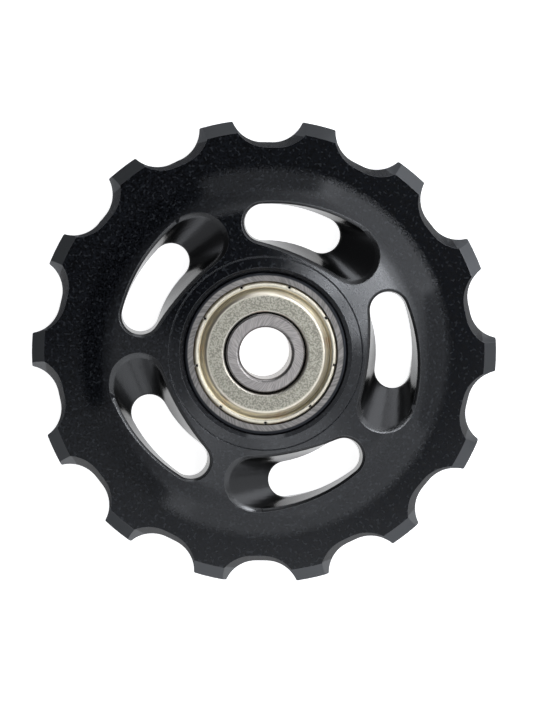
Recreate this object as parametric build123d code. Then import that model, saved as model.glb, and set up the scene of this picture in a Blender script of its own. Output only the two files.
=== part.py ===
from build123d import *
import math
import os

# Millimetres. Wheel axis along Z, origin on the axis at mid thickness, a tooth centred on +X.

# Toothed rim
TOOTH_COUNT = 14
TIP_DIAMETER = 54.0
TOOTH_HEIGHT = 2.65
RIM_THICKNESS = 2.2
RIM_BAND_WIDTH = 3.1
TIP_THICKNESS = 0.9
TIP_CHAMFER_WIDTH = 1.42
TIP_CORNER_ROUND = 0.2
ROLLER_SEAT_RADIUS = 3.8
ROLLER_SEAT_FLAT = 1.16

# Lead-in bevel, wide on one flank of each tooth at the front and on the other at the back
BEVEL_DEPTH = 1.15
BEVEL_AT_ROOT = 0.6
BEVEL_SHIFT = 0.52

# Hub and web
HUB_THICKNESS = 6.8
HUB_LAND = 0.3
HUB_SLOPE = 5.0
WEB_SLOPE_WIDTH = 3.35
WEB_SHOULDER_ROUND = 2.85
RIM_CORNER_ROUND = 0.3
RING_LINE_SETBACK = 0.9
RING_LINE_WIDTH = 0.16
RING_LINE_DEPTH = 0.1
SEAT_CHAMFER = 0.5
SEAT_LIP_HEIGHT = 0.6
LIP_CHAMFER = 0.2

# Slots: a waist at mid thickness and a scooped pocket from each face
SLOT_COUNT = 5
SLOT_PHASE = 5.9
SLOT_SETBACK = 3.9
WAIST_WIDTH = 4.2
WAIST_HALF_ANGLE = 13.4
SCOOP_TAIL_ANGLE = 14.1
SCOOP_TAIL_GROWTH = 0.12
SCOOP_HEAD_ANGLE = -30.5
SCOOP_HEAD_OFFSET = 0.42
SCOOP_HEAD_GROWTH = 1.22
SCOOP_RIM_ARC = 21.2
SCOOP_HUB_ARC = 34.2
SLOT_EDGE_BREAK = 0.3

# Deep-groove ball bearing
BORE_DIAMETER = 6.0
BEARING_DIAMETER = 19.0
BEARING_WIDTH = 6.0
BORE_EDGE_ROUND = 0.4
OUTER_CORNER_ROUND = 0.3
BALL_COUNT = 6
BALL_DIAMETER = 3.5
RACE_CLEARANCE = 0.04
RACE_GROOVE_DEPTH = 0.5
INNER_LAND = 1.5
INNER_STEP_DEPTH = 0.85
INNER_EDGE_CHAMFER = 0.1
OUTER_LAND = 1.14
RECESS_DEPTH = 1.0
RECESS_EDGE_CHAMFER = 0.06
CRIMP_GROOVE_DEPTH = 0.14
CRIMP_GROOVE_HEIGHT = 0.3

# Pressed shield
SHIELD_SHEET = 0.25
SHIELD_SINK = 0.15
SHIELD_INNER_GAP = 0.275
SHIELD_HEM = 0.3
TROUGH_SLOPE_WIDTH = 0.65
TROUGH_DEPTH = 0.56
CURL_RISE_WIDTH = 0.33
CURL_WIDTH = 0.38
CURL_DROP = 0.12
CURL_RIM_GAP = 0.075
SKIRT_FLARE = 0.14
SHIELD_BEND_ROUND = 0.14
SLIT_COUNT = 9
SLIT_WIDTH = 0.28
SLIT_START = 0.17
SLIT_PHASE = -89.2

# Two-piece ribbon cage
CAGE_SHEET = 0.3
CAGE_RING_CLEARANCE = 0.45
CAGE_BALL_CLEARANCE = 0.06
TAB_WIDTH = 0.9
TAB_SHEET = 0.25
TAB_CLEARANCE = 0.02

# Derived sizes
TIP_RADIUS = TIP_DIAMETER / 2
ROOT_RADIUS = TIP_RADIUS - TOOTH_HEIGHT
HUB_HALF = HUB_THICKNESS / 2
RIM_HALF = RIM_THICKNESS / 2
BORE_RADIUS = BORE_DIAMETER / 2
BEARING_RADIUS = BEARING_DIAMETER / 2
HUB_LAND_RADIUS = BEARING_RADIUS + SEAT_CHAMFER + HUB_LAND
RING_LINE_RADIUS = HUB_LAND_RADIUS + RING_LINE_SETBACK
SLOT_PITCH_RADIUS = RING_LINE_RADIUS + SLOT_SETBACK
RIM_CORNER_RADIUS = ROOT_RADIUS - RIM_BAND_WIDTH
WEB_SHOULDER_RADIUS = RIM_CORNER_RADIUS - WEB_SLOPE_WIDTH
BEARING_HALF = BEARING_WIDTH / 2
BALL_RADIUS = BALL_DIAMETER / 2
BALL_PITCH_RADIUS = (BORE_RADIUS + BEARING_RADIUS) / 2
INNER_FACE_RADIUS = BORE_RADIUS + INNER_LAND
INNER_SHOULDER_RADIUS = BALL_PITCH_RADIUS - BALL_RADIUS + RACE_GROOVE_DEPTH
OUTER_SHOULDER_RADIUS = BALL_PITCH_RADIUS + BALL_RADIUS - RACE_GROOVE_DEPTH
RECESS_RADIUS = BEARING_RADIUS - OUTER_LAND
SHOULDER_HEIGHT = BEARING_HALF - RECESS_DEPTH
CAGE_INNER_RADIUS = INNER_SHOULDER_RADIUS + CAGE_RING_CLEARANCE
CAGE_OUTER_RADIUS = OUTER_SHOULDER_RADIUS - CAGE_RING_CLEARANCE
OVERCUT = 1.0


def around(shape, count, phase):
    """Copies of a shape, evenly spaced about the wheel axis."""
    return [shape.rotate(Axis.Z, phase + 360 / count * k) for k in range(count)]


def half_turn(shape):
    """The same shape turned over onto the other face."""
    return shape.rotate(Axis.X, 180)


def polar(radius, degrees):
    """Point on the XY plane from a radius and an angle."""
    angle = math.radians(degrees)
    return Vector(radius * math.cos(angle), radius * math.sin(angle), 0)


# Wheel


def hub_height(radius):
    """Height of the hub's face, which falls gently outside its flat land."""
    return HUB_HALF - (radius - HUB_LAND_RADIUS) * math.tan(math.radians(HUB_SLOPE))


def web_section():
    """Section of the wheel: rim, sloping web, gently coned hub and bearing seat."""
    tip_half = TIP_THICKNESS / 2
    beyond_tip = TIP_CHAMFER_WIDTH * tip_half / (RIM_HALF - tip_half)
    lip_top = -BEARING_HALF
    lip_radius = BEARING_RADIUS - SEAT_LIP_HEIGHT
    line_out = RING_LINE_RADIUS + RING_LINE_WIDTH / 2
    line_in = RING_LINE_RADIUS - RING_LINE_WIDTH / 2
    front = [
        (TIP_RADIUS - TIP_CHAMFER_WIDTH, RIM_HALF),
        (RIM_CORNER_RADIUS, RIM_HALF),
        (WEB_SHOULDER_RADIUS, hub_height(WEB_SHOULDER_RADIUS)),
        (line_out, hub_height(line_out)),
        (RING_LINE_RADIUS, hub_height(RING_LINE_RADIUS) - RING_LINE_DEPTH),
        (line_in, hub_height(line_in)),
        (HUB_LAND_RADIUS, HUB_HALF),
    ]
    seat = [
        (BEARING_RADIUS + SEAT_CHAMFER, HUB_HALF),
        (BEARING_RADIUS, HUB_HALF - SEAT_CHAMFER),
        (BEARING_RADIUS, lip_top),
        (lip_radius, lip_top),
        (lip_radius, LIP_CHAMFER - HUB_HALF),
        (lip_radius + LIP_CHAMFER, -HUB_HALF),
    ]
    back = [(radius, -height) for radius, height in reversed(front)]
    edge = (TIP_RADIUS + beyond_tip, 0)
    section = make_face(Polyline(edge, *front, *seat, *back, close=True))
    section = round_corners(section, WEB_SHOULDER_RADIUS, WEB_SHOULDER_ROUND)
    return round_corners(section, RIM_CORNER_RADIUS, RIM_CORNER_ROUND)


def round_corners(section, radius, rounding):
    """Round the front and back corners of a section that lie at one radius."""
    corners = [v for v in section.vertices() if math.isclose(v.X, radius, abs_tol=1e-6)]
    return fillet(corners, rounding)


def roller_seat(growth):
    """Outline of the gap between two teeth: a long seat for the chain roller, grown evenly."""
    radius = ROLLER_SEAT_RADIUS + growth
    outline = SlotOverall(ROLLER_SEAT_FLAT + 2 * radius, 2 * radius, rotation=90)
    return Pos(ROOT_RADIUS + ROLLER_SEAT_RADIUS, 0, 0) * outline


def tooth_plan():
    """Outline of the toothed wheel seen along its axis, with rounded tip corners."""
    gaps = around(roller_seat(0), TOOTH_COUNT, 180 / TOOTH_COUNT)
    plan = Circle(TIP_RADIUS).cut(*gaps).face()
    corners = [v for v in plan.vertices() if math.isclose(math.hypot(v.X, v.Y), TIP_RADIUS)]
    return fillet(corners, TIP_CORNER_ROUND)


def lead_in_bevel():
    """Tapered cut at the front of a gap, moved towards the flank that meets the chain."""
    sections = []
    for rise in (-BEVEL_DEPTH, OVERCUT):
        place = Pos(0, -BEVEL_SHIFT, RIM_HALF + rise)
        sections.append(place * roller_seat(BEVEL_AT_ROOT + rise))
    return loft(sections, ruled=True)


def tooth_bevels():
    """Bevels of all the gaps, at the front and turned over at the back."""
    cuts = []
    for tool in (lead_in_bevel(), half_turn(lead_in_bevel())):
        cuts += around(tool, TOOTH_COUNT, 180 / TOOTH_COUNT)
    return cuts


def arc_centre(first, first_reach, second, second_reach):
    """Centre at given reaches from two points, on the side towards the wheel axis."""
    span = second - first
    along = (first_reach**2 - second_reach**2 + span.length**2) / (2 * span.length)
    across = math.sqrt(first_reach**2 - along**2)
    direction = span.normalized()
    normal = Vector(direction.Y, -direction.X, 0)
    if normal.X > 0:
        normal = -normal
    return first + direction * along + normal * across


def toward(start, target, distance):
    """Point at a distance from the start on the line to the target."""
    return start + (target - start).normalized() * distance


def banana(tail, tail_round, head, head_round, rim_arc, hub_arc):
    """Face bounded by two end circles and the two arcs tangent to both."""
    rim = arc_centre(tail, rim_arc - tail_round, head, rim_arc - head_round)
    hub = arc_centre(tail, hub_arc + tail_round, head, hub_arc + head_round)
    tail_rim = toward(tail, rim, -tail_round)
    head_rim = toward(head, rim, -head_round)
    tail_hub = toward(tail, hub, tail_round)
    head_hub = toward(head, hub, head_round)
    ends = head - tail
    rim_side = ThreePointArc(head_rim, toward(rim, (head_rim + tail_rim) / 2, rim_arc), tail_rim)
    tail_end = ThreePointArc(tail_rim, toward(tail, tail - ends, tail_round), tail_hub)
    hub_side = ThreePointArc(tail_hub, toward(hub, (head_hub + tail_hub) / 2, hub_arc), head_hub)
    head_end = ThreePointArc(head_hub, toward(head, head + ends, head_round), head_rim)
    return make_face([rim_side, tail_end, hub_side, head_end])


def waist_outline():
    """Narrowest outline of a slot, concentric with the wheel."""
    tail = polar(SLOT_PITCH_RADIUS, WAIST_HALF_ANGLE)
    head = polar(SLOT_PITCH_RADIUS, -WAIST_HALF_ANGLE)
    end_round = WAIST_WIDTH / 2
    rim_arc = SLOT_PITCH_RADIUS + end_round
    hub_arc = SLOT_PITCH_RADIUS - end_round
    return banana(tail, end_round, head, end_round, rim_arc, hub_arc)


def mouth_outline():
    """Outline of a pocket at the height of the hub's land."""
    tail = polar(SLOT_PITCH_RADIUS, SCOOP_TAIL_ANGLE)
    head = polar(SLOT_PITCH_RADIUS + SCOOP_HEAD_OFFSET, SCOOP_HEAD_ANGLE)
    tail_round = WAIST_WIDTH / 2 + SCOOP_TAIL_GROWTH
    head_round = WAIST_WIDTH / 2 + SCOOP_HEAD_GROWTH
    return banana(tail, tail_round, head, head_round, SCOOP_RIM_ARC, SCOOP_HUB_ARC)


def scoop():
    """Pocket that ramps from a wide head near the face down to the waist."""
    return loft([waist_outline(), Pos(0, 0, HUB_HALF) * mouth_outline()], ruled=True)


def steep_mouths(blank, slotted):
    """Edges where the pockets come out through the faces, apart from their shallow ramps."""
    waists = around(waist_outline(), SLOT_COUNT, SLOT_PHASE)
    whole_edges = slotted.edges()
    steep = []
    for edge in new_edges(blank, combined=slotted):
        middle = edge @ 0.5
        run = min(waist.distance_to(Vector(middle.X, middle.Y, 0)) for waist in waists)
        if abs(middle.Z) > max(run, RIM_HALF) and edge in whole_edges:
            steep.append(edge)
    return steep


def cut_slots(blank):
    """Cut the slots, each a front pocket and the same turned over at the back, and break steep edges."""
    front = around(scoop(), SLOT_COUNT, SLOT_PHASE)
    back = around(half_turn(scoop()), SLOT_COUNT, SLOT_PHASE)
    slotted = blank.cut(*front, *back)
    return slotted.chamfer(SLOT_EDGE_BREAK, None, steep_mouths(blank, slotted))


def wheel():
    """Machined wheel body."""
    blank = revolve(Plane.XZ * web_section(), Axis.Z)
    teeth = extrude(tooth_plan(), HUB_THICKNESS, both=True)
    return (cut_slots(blank) & teeth).cut(*tooth_bevels())


# Bearing


def raceway():
    """Groove the balls run in, shared by both rings."""
    return Torus(BALL_PITCH_RADIUS, BALL_RADIUS + RACE_CLEARANCE)


def outer_ring():
    """Outer ring with raceway, shield recesses and crimp grooves."""
    groove = RECESS_RADIUS + CRIMP_GROOVE_DEPTH
    groove_top = SHOULDER_HEIGHT + CRIMP_GROOVE_HEIGHT
    front = [
        (BEARING_RADIUS, BEARING_HALF),
        (RECESS_RADIUS + RECESS_EDGE_CHAMFER, BEARING_HALF),
        (RECESS_RADIUS, BEARING_HALF - RECESS_EDGE_CHAMFER),
        (RECESS_RADIUS, groove_top),
        (groove, groove_top),
        (groove, SHOULDER_HEIGHT),
        (OUTER_SHOULDER_RADIUS, SHOULDER_HEIGHT),
    ]
    back = [(radius, -height) for radius, height in reversed(front)]
    section = make_face(Polyline(*front, *back, close=True))
    section = round_corners(section, BEARING_RADIUS, OUTER_CORNER_ROUND)
    return revolve(Plane.XZ * section, Axis.Z) - raceway()


def inner_ring():
    """Inner ring with stepped ends that tuck under the shields."""
    step = BEARING_HALF - INNER_STEP_DEPTH
    front = [
        (BORE_RADIUS, BEARING_HALF),
        (INNER_FACE_RADIUS - INNER_EDGE_CHAMFER, BEARING_HALF),
        (INNER_FACE_RADIUS, BEARING_HALF - INNER_EDGE_CHAMFER),
        (INNER_FACE_RADIUS, step),
        (INNER_SHOULDER_RADIUS, step),
    ]
    back = [(radius, -height) for radius, height in reversed(front)]
    section = make_face(Polyline(*front, *back, close=True))
    section = round_corners(section, BORE_RADIUS, BORE_EDGE_ROUND)
    return revolve(Plane.XZ * section, Axis.Z) - raceway()


def ball_places():
    """Ball centres about the axis."""
    return [polar(BALL_PITCH_RADIUS, 360 / BALL_COUNT * k) for k in range(BALL_COUNT)]


def ball(centre):
    """One ball at its place in the raceway."""
    return Pos(*centre) * Sphere(BALL_RADIUS)


def shield_path():
    """Mid line of the shield sheet, from the hem to the skirt in the crimp groove."""
    flat = BEARING_HALF - SHIELD_SINK - SHIELD_SHEET / 2
    curl = flat - CURL_DROP
    hem = INNER_FACE_RADIUS + SHIELD_INNER_GAP + SHIELD_SHEET / 2
    curl_outer = curl_edge() - SHIELD_SHEET / 2
    curl_inner = curl_outer - CURL_WIDTH
    trough = curl_inner - CURL_RISE_WIDTH
    points = [
        (hem, flat - SHIELD_HEM),
        (hem, flat),
        (trough - TROUGH_SLOPE_WIDTH, flat),
        (trough, flat - TROUGH_DEPTH),
        (curl_inner, curl),
        (curl_outer, curl),
        (curl_outer + SKIRT_FLARE, SHOULDER_HEIGHT),
    ]
    return FilletPolyline(*points, radius=SHIELD_BEND_ROUND)


def curl_edge():
    """Outer radius of the curled rim, a little inside the recess of the outer ring."""
    return RECESS_RADIUS - CURL_RIM_GAP


def shield():
    """Front shield: a pressed ring with a curled rim split by narrow slits."""
    below_shoulder = Rectangle(BEARING_RADIUS, OVERCUT, align=(Align.MIN, Align.MAX))
    section = trace(shield_path(), line_width=SHIELD_SHEET) - Pos(0, SHOULDER_HEIGHT) * below_shoulder
    ring = revolve(Plane.XZ * section, Axis.Z)
    height = BEARING_HALF - SHOULDER_HEIGHT + OVERCUT
    length = CURL_WIDTH - SLIT_START + OVERCUT
    slit = Box(length, SLIT_WIDTH, height, align=(Align.MAX, Align.CENTER, Align.MIN))
    slit = Pos(curl_edge() - SHIELD_SHEET / 2 + OVERCUT, 0, SHOULDER_HEIGHT - OVERCUT / 2) * slit
    return ring.cut(*around(slit, SLIT_COUNT, SLIT_PHASE))


def band(low, high):
    """Ring-shaped band as wide as the cage, between two heights."""
    ring = Circle(CAGE_OUTER_RADIUS) - Circle(CAGE_INNER_RADIUS)
    return extrude(Pos(0, 0, low) * ring, high - low)


def cage_half():
    """Front half of the cage: flats between the balls and a domed pocket over each."""
    inside = BALL_RADIUS + CAGE_BALL_CLEARANCE
    outside = inside + CAGE_SHEET
    tall_band = band(0, outside)
    ribbon = band(0, CAGE_SHEET)
    domes = [Pos(*centre) * Sphere(outside) & tall_band for centre in ball_places()]
    hollows = [Pos(*centre) * Sphere(inside) for centre in ball_places()]
    return ribbon.fuse(*domes).cut(*hollows)


def cage_tab():
    """Tab bent over the edge of the other half, midway between two balls."""
    gap = CAGE_OUTER_RADIUS + TAB_CLEARANCE
    corner = (Align.MIN, Align.CENTER, Align.MIN)
    drop = 2 * CAGE_SHEET + TAB_CLEARANCE + TAB_SHEET
    top = Pos(CAGE_OUTER_RADIUS - TAB_SHEET, 0, 0)
    root = top * Box(2 * TAB_SHEET + TAB_CLEARANCE, TAB_WIDTH, CAGE_SHEET, align=corner)
    wall = Pos(gap, 0, CAGE_SHEET - drop) * Box(TAB_SHEET, TAB_WIDTH, drop, align=corner)
    foot = Pos(gap - 2 * TAB_SHEET, 0, CAGE_SHEET - drop)
    hook = foot * Box(3 * TAB_SHEET, TAB_WIDTH, TAB_SHEET, align=corner)
    return root + wall + hook


def cage_front():
    """Cage half that carries the tabs."""
    half_pitch = 180 / BALL_COUNT
    return cage_half().fuse(*around(cage_tab(), BALL_COUNT, half_pitch))


def all_parts():
    """Every piece by its node name."""
    parts = {
        "wheel": wheel(),
        "bearing_outer_ring": outer_ring(),
        "bearing_inner_ring": inner_ring(),
        "shield_front": shield(),
        "shield_back": half_turn(shield()),
        "cage_front": cage_front(),
        "cage_back": half_turn(cage_half()),
    }
    for number, centre in enumerate(ball_places(), start=1):
        parts[f"ball_{number}"] = ball(centre)
    return parts


os.makedirs("parts", exist_ok=True)
for node, solid in all_parts().items():
    export_step(solid, f"parts/{node}.step")
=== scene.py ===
import math
import bpy
from mathutils import Matrix, Vector


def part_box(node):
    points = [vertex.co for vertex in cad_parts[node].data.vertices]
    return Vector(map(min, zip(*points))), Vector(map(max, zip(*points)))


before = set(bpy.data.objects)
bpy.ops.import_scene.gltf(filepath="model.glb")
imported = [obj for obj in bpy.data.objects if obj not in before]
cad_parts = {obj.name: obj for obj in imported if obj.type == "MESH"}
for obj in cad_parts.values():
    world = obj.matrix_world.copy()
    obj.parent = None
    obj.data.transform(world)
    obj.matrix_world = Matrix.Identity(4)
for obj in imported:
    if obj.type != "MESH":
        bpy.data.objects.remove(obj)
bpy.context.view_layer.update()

MM = 0.001

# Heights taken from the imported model, in metres. The floor lies a hair below the hub's back, so that the two
# faces don't fight.
FLOOR_GAP = 0.02 * MM
FLOOR_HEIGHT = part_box("wheel")[0][2] - FLOOR_GAP
SHIELD_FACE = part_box("shield_front")[1][2]

# A noise's values are clipped at these two, which sharpens its grains
NOISE_SPAN = (0.38, 0.62)
BEVEL_SAMPLES = 6
# Axial part of a face's normal where a mask starts and where it is full; 1 is square to the axle
CUT_WALL = (0.88, 0.85)
TIP_CHAMFER = (0.97, 0.95)
RING_CORNER = (0.97, 0.85)
SHEET_BEND = (0.98, 0.9)
# Part of the normal along the turning where a scoop's lean starts to count and where it fully does
SCOOP_LEAN = (0.02, 0.06)
# Agreement of the softened normal with the true one where an edge starts and where it is full
EDGE_SHARPNESS = (0.995, 0.93)

# Rings on the wheel, each a middle radius and a reach to either side: the slots, from the ring line to the
# toothed band; the web's bend, to just past the rim corner; and the narrow land round the bearing seat, which
# the turning left sloping like the rest of the hub
SLOT_RING = (15.7 * MM, 4.3 * MM)
WEB_RING = (19.3 * MM, 2.7 * MM)
LAND_RING = (10.35 * MM, 0.4 * MM)
# The web's face leans over from the hub's slope to its own between two radii and ends at the rim corner,
# where the blasting broke the line up into grains over a narrow ring
HUB_SLOPE = math.radians(5)
WEB_SLOPE = math.radians(26)
BEND_START = 16.4 * MM
BEND_END = 20.0 * MM
RIM_CORNER = 21.35 * MM
CORNER_RAGGED = 0.9 * MM
CORNER_GRAIN = 0.12 * MM
# Round this radius the turning left the bend rougher, fully within the near distance and not past the far
SHOULDER = 17.9 * MM
SHOULDER_NEAR = 0.7 * MM
SHOULDER_FAR = 1.7 * MM
# The chamfers on the tooth tips start at this radius
TIP_START = 25.35 * MM
TIP_FADE = 0.1 * MM
# Width of the worn line along an edge, and the rounding that the end mill left in the pockets
EDGE_WEAR = 0.06 * MM
POCKET_SOFT = 0.4 * MM

# Camera, nearly square on to the wheel's face, from a little to the left and above; the lens is in mm
CAMERA_ROLL = math.radians(0.78)
CAMERA_DISTANCE = 500 * MM
CAMERA_LENS = 215
CAMERA_AIM = (0.65 * MM, -0.97 * MM)
CAMERA_LEAN = (-0.047, 0.069)

# Floor: its side in metres, the glow that the camera and reflections see, and the matt white below it that
# takes the shadow
FLOOR_SIDE = 2.0
FLOOR_GLOW = 0.92
FLOOR_WHITE = "#e8e8e8"
# World brightness near the floor's level and overhead, and the sines of the elevations between which it
# changes
WORLD_LOW = 0.6
WORLD_HIGH = 0.03
WORLD_CHANGE = (0.05, 0.35)
WORLD_TINT = "#f2f6ff"

# A small pair high at the upper right puts the sheen on the hub, a broad one below it lights the tooth tips
# there, and the others ring the wheel. Each has a name, azimuth, elevation, size and power in watts.
SOFTBOX_DISTANCE = 0.5
SOFTBOX_TINT = "#f4f8ff"
SOFTBOXES = (
    ("softbox_sheen_low", 20, 69.5, 0.12, 0.43),
    ("softbox_sheen_high", 40, 74, 0.08, 0.18),
    ("softbox_upper_right", 41, 38, 0.38, 0.68),
    ("softbox_top", 85, 35, 0.35, 0.16),
    ("softbox_top_low", 88, 18, 0.25, 0.3),
    ("softbox_lower_left", 228, 38, 0.35, 0.11),
    ("softbox_bottom", 265, 38, 0.35, 0.38),
    ("softbox_lower_right", 310, 38, 0.35, 0.38),
    ("softbox_right", 355, 38, 0.35, 0.21),
    ("softbox_bottom_high", 270, 68, 0.2, 0.13),
    ("softbox_overhead", 268, 79, 0.1, 0.012),
    ("softbox_lower_right_high", 320, 68, 0.2, 0.11),
    ("softbox_lower_left_high", 215, 70, 0.2, 0.055),
)

bpy.ops.object.select_all(action="DESELECT")


def linear(colour):
    """Linear colour from an sRGB hex code."""
    channels = [int(colour[place:place + 2], 16) / 255 for place in (1, 3, 5)]
    return [*(c / 12.92 if c <= 0.04045 else ((c + 0.055) / 1.055) ** 2.4 for c in channels), 1.0]


def add(tree, kind, inputs=None, **settings):
    """Add a node with its settings; an input is a constant or another node's output."""
    made = tree.nodes.new("ShaderNode" + kind)
    for name, value in settings.items():
        setattr(made, name, value)
    for name, value in (inputs or {}).items():
        if isinstance(value, bpy.types.NodeSocket):
            tree.links.new(value, made.inputs[name])
        else:
            made.inputs[name].default_value = value
    return made


def new_material(name):
    """Empty material, and its node tree."""
    material = bpy.data.materials.new(name)
    material.use_nodes = True
    material.node_tree.nodes.clear()
    return material, material.node_tree


def cylinder_parts(tree, place):
    """Distance from the axle and the unit vector away from it, in object coordinates."""
    flat = add(tree, "VectorMath", {0: place, 1: (1, 1, 0)}, operation="MULTIPLY").outputs[0]
    radius = add(tree, "VectorMath", {0: flat}, operation="LENGTH").outputs["Value"]
    return radius, add(tree, "VectorMath", {0: flat}, operation="NORMALIZE").outputs[0]


def grain(tree, place, size, low=0.0, high=1.0):
    """Noise with features of a size in metres, spread from a low to a high value."""
    noise = add(tree, "TexNoise", {"Vector": place, "Scale": 1 / size, "Detail": 1.0})
    spread = add(tree, "MapRange", {"Value": noise.outputs[0], "From Min": NOISE_SPAN[0],
                                    "From Max": NOISE_SPAN[1], "To Min": low, "To Max": high})
    return spread.outputs[0]


def ring_mask(tree, radius, middle, start, full, share=1.0):
    """Nothing beyond the start distance from a middle radius, and a share within the full one."""
    away = add(tree, "Math", {0: radius, 1: middle}, operation="SUBTRACT").outputs[0]
    away = add(tree, "Math", {0: away}, operation="ABSOLUTE").outputs[0]
    near = add(tree, "MapRange", {"Value": away, "From Min": start, "From Max": full, "To Max": share})
    return near.outputs[0]


def tilt_mask(tree, facing, start, full):
    """0 on faces square to the axle, 1 once the normal's axial part has fallen from start to full."""
    axial = add(tree, "SeparateXYZ", {0: facing}).outputs["Z"]
    axial = add(tree, "Math", {0: axial}, operation="ABSOLUTE").outputs[0]
    return add(tree, "MapRange", {"Value": axial, "From Min": start, "From Max": full}).outputs[0]


def scoop_mask(tree, outward, facing):
    """0 on faces turned about the axle, 1 on faces that lean along the turning, as a scoop's do."""
    around = add(tree, "VectorMath", {0: (0, 0, 1), 1: outward}, operation="CROSS_PRODUCT").outputs[0]
    lean = add(tree, "VectorMath", {0: facing, 1: around}, operation="DOT_PRODUCT").outputs["Value"]
    lean = add(tree, "Math", {0: lean}, operation="ABSOLUTE").outputs[0]
    leaning = add(tree, "MapRange", {"Value": lean, "From Min": SCOOP_LEAN[0], "From Max": SCOOP_LEAN[1]})
    return leaning.outputs[0]


def edge_mask(tree, width):
    """1 along sharp edges, fading over a width in metres, and the softened normal."""
    soft = add(tree, "Bevel", {"Radius": width}, samples=BEVEL_SAMPLES).outputs[0]
    sharp = add(tree, "NewGeometry").outputs["Normal"]
    same = add(tree, "VectorMath", {0: soft, 1: sharp}, operation="DOT_PRODUCT").outputs["Value"]
    edge = add(tree, "MapRange", {"Value": same, "From Min": EDGE_SHARPNESS[0],
                                  "From Max": EDGE_SHARPNESS[1]})
    return edge.outputs[0], soft


def turned_normal(tree, place, radius, outward, facing):
    """Normal of a web turned in one sweep, with the corner by the rim broken up by the blasting."""
    sweep = add(tree, "MapRange", {"Value": radius, "From Min": BEND_START, "From Max": BEND_END,
                                   "To Min": HUB_SLOPE, "To Max": WEB_SLOPE},
                interpolation_type="SMOOTHSTEP").outputs[0]
    stray = grain(tree, place, CORNER_GRAIN, -CORNER_RAGGED / 2, CORNER_RAGGED / 2)
    ragged = add(tree, "Math", {0: stray, 1: radius}, operation="ADD").outputs[0]
    inside = add(tree, "Math", {0: ragged, 1: RIM_CORNER}, operation="LESS_THAN").outputs[0]
    tilt = add(tree, "Math", {0: sweep, 1: inside}, operation="MULTIPLY").outputs[0]
    away = add(tree, "Math", {0: tilt}, operation="SINE").outputs[0]
    axial = add(tree, "Math", {0: tilt}, operation="COSINE").outputs[0]
    side = add(tree, "SeparateXYZ", {0: facing}).outputs["Z"]
    side = add(tree, "Math", {0: side}, operation="SIGN").outputs[0]
    axial = add(tree, "Math", {0: axial, 1: side}, operation="MULTIPLY").outputs[0]
    up = add(tree, "CombineXYZ", {"Z": axial}).outputs[0]
    spread = add(tree, "VectorMath", {0: outward, "Scale": away}, operation="SCALE").outputs[0]
    both = add(tree, "VectorMath", {0: spread, 1: up}, operation="ADD").outputs[0]
    return add(tree, "VectorTransform", {0: both}, vector_type="NORMAL", convert_from="OBJECT",
               convert_to="WORLD").outputs[0]


# Anodised wheel: the skin's pits and tops, and what lies over them
SKIN_PITS = "#000001"
SKIN_TOPS = "#181a1e"
SKIN_DUST = "#3c3f42"
POCKET_OXIDE = "#0a0a0a"
# Tooth tips: a paler grey that stands for the light the tip chamfers catch, a painted highlight
TIP_PAINTED_HIGHLIGHT = "#525354"
WORN_METAL = "#77787a"
# Share of the worn colour along an edge, and how metallic the tips are
WORN_SHARE = 0.6
TIP_METALLIC_SHARE = 0.5
# Blast pits are about 0.05 mm. They are drawn 0.2 mm wide in the colour and gloss, and 0.1 mm wide in the
# relief, so that they show.
PIT_WIDTH = 0.2 * MM
FINE_PIT_WIDTH = 0.1 * MM
FINE_PIT_DEPTH = 0.0035 * MM
BLASTED_RELIEF = 0.22
POCKET_RELIEF = 0.15
# Specks of dust lie where the noise rises over the first level, with their full share from the second
DUST_WIDTH = 0.35 * MM
DUST_LEVELS = (0.62, 0.76)
DUST_SHARE = 0.4
PIT_ROUGHNESS = 0.13
TOP_ROUGHNESS = 0.07
SHOULDER_ROUGHNESS = 0.34
POCKET_ROUGHNESS = 0.22
# The end mill's marks are about 0.05 mm apart; they are drawn 0.25 mm wide so that they show. Once round the
# wheel they pass through the noise on a small circle, so that they run long.
MILL_WIDTH = 0.25 * MM
MILL_CIRCLE = 1.5 * MM
MILL_DEPTH = 0.01 * MM
MILL_RELIEF = 0.25
SKIN_IOR = 1.5
OXIDE_IOR = 1.76


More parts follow.
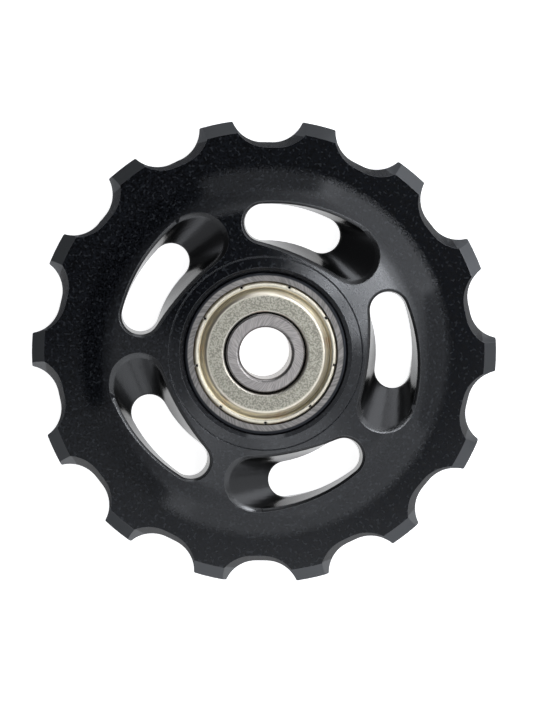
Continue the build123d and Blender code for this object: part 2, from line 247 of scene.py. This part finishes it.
def anodised_aluminium():
    """Black anodised aluminium, bead-blasted: finely speckled satin faces with specks of dust, cut pockets
    with marks along the slot, paler edges where the cutter left the skin thin, and a painted highlight
    on the tooth tips."""
    material, tree = new_material("bead_blasted_black_anodised_aluminium")
    coords = add(tree, "TexCoord")
    place = coords.outputs["Object"]
    facing = coords.outputs["Normal"]
    radius, outward = cylinder_parts(tree, place)
    slots, web, land = (
        add(tree, "Math", {0: radius, 1: middle, 2: reach}, operation="COMPARE").outputs[0]
        for middle, reach in (SLOT_RING, WEB_RING, LAND_RING))
    steep = tilt_mask(tree, facing, *CUT_WALL)
    scoop = scoop_mask(tree, outward, facing)
    cut = add(tree, "Math", {0: steep, 1: scoop}, operation="MAXIMUM").outputs[0]
    pocket = add(tree, "Math", {0: slots, 1: cut}, operation="MULTIPLY").outputs[0]
    chamfer = tilt_mask(tree, facing, *TIP_CHAMFER)
    far = add(tree, "MapRange", {"Value": radius, "From Min": TIP_START, "From Max": TIP_START + TIP_FADE})
    tip = add(tree, "Math", {0: chamfer, 1: far.outputs[0]}, operation="MULTIPLY").outputs[0]
    edge, worn_normal = edge_mask(tree, EDGE_WEAR)

    turned = turned_normal(tree, place, radius, outward, facing)
    swept = add(tree, "Math", {0: web, 1: land}, operation="ADD").outputs[0]
    for other in (cut, edge):
        beside = add(tree, "Math", {0: 1.0, 1: other}, operation="SUBTRACT").outputs[0]
        swept = add(tree, "Math", {0: swept, 1: beside}, operation="MULTIPLY").outputs[0]
    milled = add(tree, "Bevel", {"Radius": POCKET_SOFT}, samples=BEVEL_SAMPLES).outputs[0]
    normal = worn_normal
    for share, shaped in ((swept, turned), (pocket, milled)):
        normal = add(tree, "Mix", {"Factor": share, "A": normal, "B": shaped}, data_type="VECTOR").outputs[1]

    pits = grain(tree, place, PIT_WIDTH)
    dust = add(tree, "TexNoise", {"Vector": place, "Scale": 1 / DUST_WIDTH, "Detail": 0.0}).outputs[0]
    dust = add(tree, "MapRange", {"Value": dust, "From Min": DUST_LEVELS[0], "From Max": DUST_LEVELS[1],
                                  "To Max": DUST_SHARE}).outputs[0]
    worn = add(tree, "Math", {0: edge, 1: WORN_SHARE}, operation="MULTIPLY").outputs[0]
    skin = linear(SKIN_PITS)
    # Of these, the tip colour is a painted highlight on the chamfers; the rest is skin, dust, oxide and wear.
    for share, tint in ((pits, SKIN_TOPS), (dust, SKIN_DUST), (pocket, POCKET_OXIDE), (tip, TIP_PAINTED_HIGHLIGHT),
                        (worn, WORN_METAL)):
        skin = add(tree, "Mix", {"Factor": share, "A": skin, "B": linear(tint)}, data_type="RGBA").outputs[2]

    rough = add(tree, "MapRange", {"Value": pits, "To Min": PIT_ROUGHNESS,
                                   "To Max": TOP_ROUGHNESS}).outputs[0]
    shoulder = ring_mask(tree, radius, SHOULDER, SHOULDER_FAR, SHOULDER_NEAR)
    for share, level in ((shoulder, SHOULDER_ROUGHNESS), (pocket, POCKET_ROUGHNESS)):
        rough = add(tree, "Mix", {"Factor": share, "A": rough, "B": level}, data_type="FLOAT").outputs[0]
    relief = add(tree, "MapRange", {"Value": pocket, "To Min": BLASTED_RELIEF, "To Max": POCKET_RELIEF})
    bump = add(tree, "Bump", {"Height": grain(tree, place, FINE_PIT_WIDTH), "Distance": FINE_PIT_DEPTH,
                              "Strength": relief.outputs[0], "Normal": normal})

    # The end mill ran along each slot, so its marks follow the circle round the axle.
    along = add(tree, "VectorMath", {0: outward, 1: (MILL_CIRCLE,) * 3}, operation="MULTIPLY").outputs[0]
    across = add(tree, "CombineXYZ", {"Z": radius}).outputs[0]
    along = add(tree, "VectorMath", {0: along, 1: across}, operation="ADD").outputs[0]
    depth = add(tree, "Math", {0: pocket, 1: MILL_RELIEF}, operation="MULTIPLY").outputs[0]
    bump = add(tree, "Bump", {"Height": grain(tree, along, MILL_WIDTH), "Distance": MILL_DEPTH,
                              "Strength": depth, "Normal": bump.outputs[0]})
    # The pockets are closed oxide, denser than the blasted skin; the tips are made half metallic.
    density = add(tree, "MapRange", {"Value": pocket, "To Min": SKIN_IOR, "To Max": OXIDE_IOR}).outputs[0]
    tip_metallic = add(tree, "Math", {0: tip, 1: TIP_METALLIC_SHARE}, operation="MULTIPLY").outputs[0]
    shader = add(tree, "BsdfPrincipled", {"Base Color": skin, "Metallic": tip_metallic, "Roughness": rough,
                                          "IOR": density, "Normal": bump.outputs[0]})
    add(tree, "OutputMaterial", {"Surface": shader.outputs[0]})
    return material


# Bearing rings: the inner and the outer one lie on either side of this radius, hidden under the shields
RING_DIVIDE = 5.5 * MM
TONE_FADE = 0.1 * MM
LEAN_FADE = 0.2 * MM
# Tangent of the grinding marks' angle from the radius
INNER_LEAN = 0.8
OUTER_LEAN = -0.58
# Grinding marks are about 0.02 mm; they are drawn 0.15 mm wide so that they show. Once round the ring they
# pass through the noise on a circle, and they drift off it with the place, so that a mark has an end.
GRINDING_WIDTH = 0.15 * MM
GRINDING_CIRCLE = 6 * MM
GRINDING_DRIFT = 0.15
GRINDING_DEPTH = 0.004 * MM
GRINDING_RELIEF = 0.5
STEEL_MOTTLE = 1.2 * MM
STEEL_ROUGHNESS = (0.34, 0.44)
POLISHED_ROUGHNESS = 0.28
# Dark and pale tone, each on the outer and on the inner ring
STEEL_TONES = (("#706d6a", "#888482"), ("#918d89", "#aba5a0"))
# Between the inner ring's end face and the outer ring's, below the shields' faces, the steel is painted dark:
# painted shade in the gaps
GAP_SHADE_RING = (6.35 * MM, 1.8 * MM)
GAP_SHADE_DEPTH = 0.1 * MM
GAP_PAINTED_SHADE = "#161412"
# Outside this radius the outer ring's rounded corner is painted dark, a painted reflection of the black hub
SEAT_SIDE = 8.97 * MM
SEAT_FADE = 0.1 * MM
CORNER_PAINTED_REFLECTION = "#2c2d30"


def ground_steel():
    """Ground bearing steel: neutral grey faces with fine straight grinding marks that lean away from
    the radius, a lighter inner ring, rounded edges that came out of the grinding polished, painted shade
    in the gaps beside the shields and a painted dark reflection on the outer ring's rounded corner."""
    material, tree = new_material("ground_bearing_steel")
    coords = add(tree, "TexCoord")
    place = coords.outputs["Object"]
    radius, outward = cylinder_parts(tree, place)
    # A mark keeps its lean from the radius if its angle grows with the log of the radius.
    lean = add(tree, "MapRange", {"Value": radius, "From Min": RING_DIVIDE - LEAN_FADE,
                                  "From Max": RING_DIVIDE + LEAN_FADE, "To Min": INNER_LEAN,
                                  "To Max": OUTER_LEAN}).outputs[0]
    log = add(tree, "Math", {0: radius, 1: math.e}, operation="LOGARITHM").outputs[0]
    turn = add(tree, "Math", {0: log, 1: lean}, operation="MULTIPLY").outputs[0]
    line = add(tree, "VectorRotate", {"Vector": outward, "Angle": turn}, rotation_type="Z_AXIS").outputs[0]
    line = add(tree, "VectorMath", {0: line, 1: (GRINDING_CIRCLE,) * 3}, operation="MULTIPLY").outputs[0]
    slow = add(tree, "VectorMath", {0: place, 1: (GRINDING_DRIFT,) * 3}, operation="MULTIPLY").outputs[0]
    line = add(tree, "VectorMath", {0: line, 1: slow}, operation="ADD").outputs[0]
    marks = grain(tree, line, GRINDING_WIDTH)

    inner = add(tree, "MapRange", {"Value": radius, "From Min": RING_DIVIDE,
                                   "From Max": RING_DIVIDE - TONE_FADE}).outputs[0]
    steel, pale = (
        add(tree, "Mix", {"Factor": inner, "A": linear(outside), "B": linear(inside)},
            data_type="RGBA").outputs[2] for outside, inside in STEEL_TONES)
    # Below the end faces, beside the shields, the steel is painted dark: painted shade in the gaps.
    height = add(tree, "SeparateXYZ", {0: place}).outputs["Z"]
    height = add(tree, "Math", {0: height}, operation="ABSOLUTE").outputs[0]
    sunk = add(tree, "MapRange", {"Value": height, "From Min": SHIELD_FACE,
                                  "From Max": SHIELD_FACE - GAP_SHADE_DEPTH}).outputs[0]
    beside = add(tree, "Math", {0: radius, 1: GAP_SHADE_RING[0], 2: GAP_SHADE_RING[1]}, operation="COMPARE").outputs[0]
    gap_shade = add(tree, "Math", {0: sunk, 1: beside}, operation="MULTIPLY").outputs[0]
    # The corner's dark colour is a painted reflection of the black hub.
    painted_dark_corner = add(tree, "MapRange", {"Value": radius, "From Min": SEAT_SIDE,
                                     "From Max": SEAT_SIDE + SEAT_FADE}).outputs[0]
    # Mixed in: the paler grinding marks, painted shade in the gaps and the corner's painted dark reflection.
    for share, tint in ((marks, pale), (gap_shade, linear(GAP_PAINTED_SHADE)), (painted_dark_corner, linear(CORNER_PAINTED_REFLECTION))):
        steel = add(tree, "Mix", {"Factor": share, "A": steel, "B": tint}, data_type="RGBA").outputs[2]

    rough = add(tree, "MapRange", {"Value": grain(tree, place, STEEL_MOTTLE), "To Min": STEEL_ROUGHNESS[0],
                                   "To Max": STEEL_ROUGHNESS[1]}).outputs[0]
    rounded = tilt_mask(tree, coords.outputs["Normal"], *RING_CORNER)
    rough = add(tree, "Mix", {"Factor": rounded, "A": rough, "B": POLISHED_ROUGHNESS},
                data_type="FLOAT").outputs[0]
    bump = add(tree, "Bump", {"Height": marks, "Distance": GRINDING_DEPTH, "Strength": GRINDING_RELIEF})
    shader = add(tree, "BsdfPrincipled", {"Base Color": steel, "Metallic": 1.0, "Roughness": rough,
                                          "Normal": bump.outputs[0]})
    add(tree, "OutputMaterial", {"Surface": shader.outputs[0]})
    return material


# Shields: dark and pale crystals, and a cream painted highlight on the bends
ZINC_DARK = "#89867a"
ZINC_PALE = "#b0ac9e"
ZINC_PAINTED_HIGHLIGHT = "#e2d8bf"
# Zinc crystals are about 0.03 mm; they are drawn 0.2 mm wide so that they show.
CRYSTAL_WIDTH = 0.2 * MM
CRYSTAL_DEPTH = 0.006 * MM
CRYSTAL_RELIEF = 0.5
DRAWN_RELIEF = 0.08
CRYSTAL_ROUGHNESS = (0.5, 0.38)
DRAWN_ROUGHNESS = 0.3
# How far the drawn sheet's bends reach to either side
SHIELD_DRAWN = 0.25 * MM
# Rings on the shield: middle radius, reach, colour and share of it, which is full within a part of the reach.
# The hem round the hole, the first bend and the curl get painted highlights, and the trough between the last
# two gets painted brown shade.
SHIELD_RING_CORE = 3
SHIELD_PAINTED_LIGHT_RINGS = (
    (4.86 * MM, 0.16 * MM, "#f3efe6", 0.7),
    (6.97 * MM, 0.38 * MM, "#fff6e2", 0.95),
    (7.5 * MM, 0.2 * MM, "#4f4730", 0.75),
    (7.97 * MM, 0.24 * MM, "#e2dac6", 0.9),
)
# Rusty stains lie where the noise rises over the first level, with their full share from the second
STAIN_WIDTH = 3 * MM
STAIN_LEVELS = (0.6, 0.75)
STAIN_SHARE = 0.5
STAIN_RUST = "#a3744a"


def plated_sheet():
    """Pressed sheet with a yellowish zinc coat: speckled olive-grey flats, glossy where the die drew the bends
    with a cream painted highlight there, painted highlights on the hem and the curl, painted brown shade in
    the trough and a few rusty stains."""
    material, tree = new_material("zinc_plated_pressed_sheet")
    coords = add(tree, "TexCoord")
    place = coords.outputs["Object"]
    radius = cylinder_parts(tree, place)[0]
    crystals = grain(tree, place, CRYSTAL_WIDTH)
    bend = tilt_mask(tree, coords.outputs["Normal"], *SHEET_BEND)
    # The cream on the bends is a painted highlight.
    layers = [(crystals, ZINC_PALE), (bend, ZINC_PAINTED_HIGHLIGHT)]
    # Painted highlights on the hem, the first bend and the curl, and painted shade in the trough.
    for middle, reach, tint, share in SHIELD_PAINTED_LIGHT_RINGS:
        layers.append((ring_mask(tree, radius, middle, reach, reach / SHIELD_RING_CORE, share), tint))
    stain = add(tree, "TexNoise", {"Vector": place, "Scale": 1 / STAIN_WIDTH, "Detail": 3.0}).outputs[0]
    stain = add(tree, "MapRange", {"Value": stain, "From Min": STAIN_LEVELS[0], "From Max": STAIN_LEVELS[1],
                                   "To Max": STAIN_SHARE}).outputs[0]
    stain = add(tree, "Math", {0: stain, 1: bend}, operation="MULTIPLY").outputs[0]
    layers.append((stain, STAIN_RUST))
    zinc = linear(ZINC_DARK)
    for share, tint in layers:
        zinc = add(tree, "Mix", {"Factor": share, "A": zinc, "B": linear(tint)}, data_type="RGBA").outputs[2]

    satin = add(tree, "MapRange", {"Value": crystals, "To Min": CRYSTAL_ROUGHNESS[0],
                                   "To Max": CRYSTAL_ROUGHNESS[1]}).outputs[0]
    rough = add(tree, "Mix", {"Factor": bend, "A": satin, "B": DRAWN_ROUGHNESS}, data_type="FLOAT").outputs[0]
    relief = add(tree, "MapRange", {"Value": bend, "To Min": CRYSTAL_RELIEF,
                                    "To Max": DRAWN_RELIEF}).outputs[0]
    drawn = add(tree, "Bevel", {"Radius": SHIELD_DRAWN}, samples=BEVEL_SAMPLES).outputs[0]
    bump = add(tree, "Bump", {"Height": crystals, "Distance": CRYSTAL_DEPTH, "Strength": relief,
                              "Normal": drawn})
    shader = add(tree, "BsdfPrincipled", {"Base Color": zinc, "Metallic": 1.0, "Roughness": rough,
                                          "Normal": bump.outputs[0]})
    add(tree, "OutputMaterial", {"Surface": shader.outputs[0]})
    return material


# Balls: clear and hazy steel, with streaks of grease that run along Y
BALL_CLEAR = "#c9c8c4"
BALL_HAZY = "#e2e1de"
STREAK_WIDTH = 0.5 * MM
STREAK_STRETCH = (1, 0.25, 1)
STREAK_DEPTH = 0.002 * MM
STREAK_RELIEF = 0.3
BALL_ROUGHNESS = (0.05, 0.2)
GREASE_WEIGHT = 0.3
GREASE_ROUGHNESS = 0.25


def polished_steel():
    """Polished ball steel under a thin film of grease: mirror bright, with hazy streaks."""
    material, tree = new_material("polished_ball_steel")
    place = add(tree, "TexCoord").outputs["Object"]
    smear = add(tree, "VectorMath", {0: place, 1: STREAK_STRETCH}, operation="MULTIPLY").outputs[0]
    haze = grain(tree, smear, STREAK_WIDTH)
    steel = add(tree, "Mix", {"Factor": haze, "A": linear(BALL_CLEAR), "B": linear(BALL_HAZY)},
                data_type="RGBA").outputs[2]
    rough = add(tree, "MapRange", {"Value": haze, "To Min": BALL_ROUGHNESS[0],
                                   "To Max": BALL_ROUGHNESS[1]}).outputs[0]
    bump = add(tree, "Bump", {"Height": haze, "Distance": STREAK_DEPTH, "Strength": STREAK_RELIEF})
    shader = add(tree, "BsdfPrincipled", {"Base Color": steel, "Metallic": 1.0, "Roughness": rough,
                                          "Normal": bump.outputs[0], "Coat Weight": GREASE_WEIGHT,
                                          "Coat Roughness": GREASE_ROUGHNESS})
    add(tree, "OutputMaterial", {"Surface": shader.outputs[0]})
    return material


# Cage: dark and pale strip, rolled along X. Rolling marks are about 0.02 mm; they are drawn 0.15 mm wide so
# that they show.
STRIP_DARK = "#8f8b80"
STRIP_PALE = "#b3afa3"
ROLLING_WIDTH = 0.15 * MM
ROLLING_STRETCH = (0.1, 1, 1)
ROLLING_DEPTH = 0.004 * MM
ROLLING_RELIEF = 0.4
STRIP_MOTTLE = 0.8 * MM
STRIP_OIL = "#6e5f40"
STRIP_OIL_SHARE = 0.35
STRIP_ROUGHNESS = (0.5, 0.26)


def stamped_strip():
    """Stamped cage strip: dull grey steel with rolling marks along the sheet and an oily mottling."""
    material, tree = new_material("stamped_cage_strip")
    place = add(tree, "TexCoord").outputs["Object"]
    drawn = add(tree, "VectorMath", {0: place, 1: ROLLING_STRETCH}, operation="MULTIPLY").outputs[0]
    rolled = grain(tree, drawn, ROLLING_WIDTH)
    mottle = grain(tree, place, STRIP_MOTTLE)
    oily = add(tree, "Math", {0: mottle, 1: STRIP_OIL_SHARE}, operation="MULTIPLY").outputs[0]
    steel = linear(STRIP_DARK)
    for share, tint in ((rolled, STRIP_PALE), (oily, STRIP_OIL)):
        steel = add(tree, "Mix", {"Factor": share, "A": steel, "B": linear(tint)},
                    data_type="RGBA").outputs[2]
    rough = add(tree, "MapRange", {"Value": mottle, "To Min": STRIP_ROUGHNESS[0],
                                   "To Max": STRIP_ROUGHNESS[1]}).outputs[0]
    bump = add(tree, "Bump", {"Height": rolled, "Distance": ROLLING_DEPTH, "Strength": ROLLING_RELIEF})
    shader = add(tree, "BsdfPrincipled", {"Base Color": steel, "Metallic": 1.0, "Roughness": rough,
                                          "Normal": bump.outputs[0]})
    add(tree, "OutputMaterial", {"Surface": shader.outputs[0]})
    return material


def dress_nodes():
    """Give every CAD node the finish of its material slot."""
    finishes = {
        "wheel_alloy": anodised_aluminium(),
        "ring_steel": ground_steel(),
        "shield_steel": plated_sheet(),
        "ball_steel": polished_steel(),
        "cage_steel": stamped_strip(),
    }
    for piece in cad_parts.values():
        for slot in piece.material_slots:
            slot.material = finishes[slot.material.name.split(".")[0]]


def lay_floor():
    """White floor that the wheel lies on, seen white by the camera and in reflections."""
    bpy.ops.mesh.primitive_plane_add(size=FLOOR_SIDE, location=(0, 0, FLOOR_HEIGHT))
    floor = bpy.context.object
    floor.name = "floor"
    material, tree = new_material("white_sweep")
    path = add(tree, "LightPath")
    seen = path.outputs["Is Camera Ray"]
    for kind in ("Is Glossy Ray", "Is Transmission Ray"):
        seen = add(tree, "Math", {0: seen, 1: path.outputs[kind]}, operation="MAXIMUM").outputs[0]
    glow = add(tree, "Emission", {"Color": linear("#ffffff"), "Strength": FLOOR_GLOW})
    matt = add(tree, "BsdfDiffuse", {"Color": linear(FLOOR_WHITE)})
    dark = add(tree, "BsdfTransparent", {"Color": linear("#000000")})
    lit = add(tree, "MixShader", {0: seen, 1: dark.outputs[0], 2: glow.outputs[0]})
    both = add(tree, "AddShader", {0: lit.outputs[0], 1: matt.outputs[0]})
    add(tree, "OutputMaterial", {"Surface": both.outputs[0]})
    floor.data.materials.append(material)


def hang_world():
    """White surroundings for the camera; for the wheel, pale near the floor and dim overhead."""
    world = bpy.data.worlds.new("studio")
    world.use_nodes = True
    tree = world.node_tree
    tree.nodes.clear()
    path = add(tree, "LightPath")
    height = add(tree, "TexCoord").outputs["Generated"]
    height = add(tree, "SeparateXYZ", {0: height}).outputs["Z"]
    level = add(tree, "MapRange", {"Value": height, "From Min": WORLD_CHANGE[0], "From Max": WORLD_CHANGE[1],
                                   "To Min": WORLD_LOW, "To Max": WORLD_HIGH},
                interpolation_type="SMOOTHSTEP")
    seen = add(tree, "Background", {"Color": linear("#ffffff"), "Strength": 1.0})
    light = add(tree, "Background", {"Color": linear(WORLD_TINT), "Strength": level.outputs[0]})
    both = add(tree, "MixShader", {0: path.outputs["Is Camera Ray"], 1: light.outputs[0], 2: seen.outputs[0]})
    add(tree, "OutputWorld", {"Surface": both.outputs[0]})
    bpy.context.scene.world = world


def hang_softbox(name, azimuth, elevation, size, power):
    """Square area light aimed at the middle of the wheel; angles in degrees, size in metres."""
    flat = SOFTBOX_DISTANCE * math.cos(math.radians(elevation))
    place = Vector((flat * math.cos(math.radians(azimuth)), flat * math.sin(math.radians(azimuth)),
                    SOFTBOX_DISTANCE * math.sin(math.radians(elevation))))
    bpy.ops.object.light_add(type="AREA", location=place)
    lamp = bpy.context.object
    lamp.name = name
    lamp.rotation_euler = (-place).to_track_quat("-Z", "Y").to_euler()
    lamp.data.size = size
    lamp.data.energy = power
    lamp.data.color = linear(SOFTBOX_TINT)[:3]
    lamp.visible_camera = False


def set_camera():
    """Camera at the photograph's viewing angle, with the photograph's frame round the wheel."""
    right = Vector((math.cos(CAMERA_ROLL), math.sin(CAMERA_ROLL), 0))
    up = Vector((-math.sin(CAMERA_ROLL), math.cos(CAMERA_ROLL), 0))
    aim = right * CAMERA_AIM[0] + up * CAMERA_AIM[1]
    back = (right * CAMERA_LEAN[0] + up * CAMERA_LEAN[1] + Vector((0, 0, 1))).normalized()
    across = up.cross(back).normalized()
    turn = Matrix((across, back.cross(across), back)).transposed().to_4x4()
    bpy.ops.object.camera_add()
    camera = bpy.context.object
    camera.matrix_world = Matrix.Translation(aim + back * CAMERA_DISTANCE) @ turn
    camera.data.lens = CAMERA_LENS
    bpy.context.scene.camera = camera


bpy.context.scene.view_settings.view_transform = "Standard"
dress_nodes()
lay_floor()
hang_world()
for softbox in SOFTBOXES:
    hang_softbox(*softbox)
set_camera()
